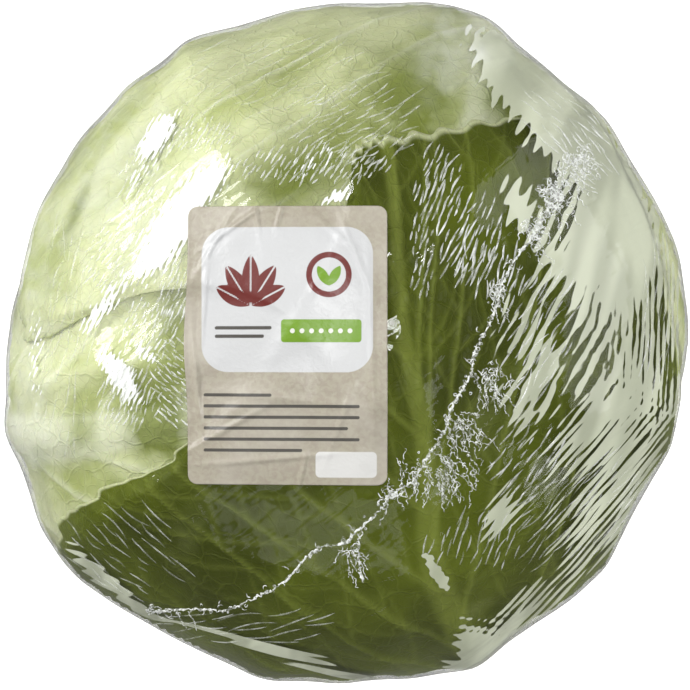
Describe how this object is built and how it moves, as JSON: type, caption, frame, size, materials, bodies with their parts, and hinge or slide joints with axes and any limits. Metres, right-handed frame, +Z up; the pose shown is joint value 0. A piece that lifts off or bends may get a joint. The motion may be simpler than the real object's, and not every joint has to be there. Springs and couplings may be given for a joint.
{
  "type": "green cabbage in clear film",
  "caption": "Round head of cabbage with dark and pale wrapper leaves, wrapped tight in clear stretch film with a plain paper label on its crown, standing on its stem end.",
  "frame": {"origin": "on the surface the cabbage stands on, under the middle of its outline", "axes": "+Z up through the crown, +Y towards the rib of the second wrapper leaf, +X to the right when looking down on the crown"},
  "size_m": [0.195, 0.1943, 0.1722],
  "materials": {
    "leaf_dark": "waxy dark green leaf with pale veins and a grey bloom",
    "leaf_pale": "waxy pale green leaf with a whitish rib",
    "leaf_inner": "waxy light green leaf",
    "stem": "matt cut stalk",
    "film": "clear thin glossy stretch film",
    "label": "satin printed paper label"
  },
  "bodies": {
    "root": {"head": "leaf_inner", "leaf_1": "leaf_dark", "leaf_2": "leaf_pale", "leaf_3": "leaf_pale", "leaf_4": "leaf_inner", "leaf_5": "leaf_inner", "leaf_6": "leaf_inner", "stem": "stem", "film": "film", "label": "label"}
  },
  "joints": []
}
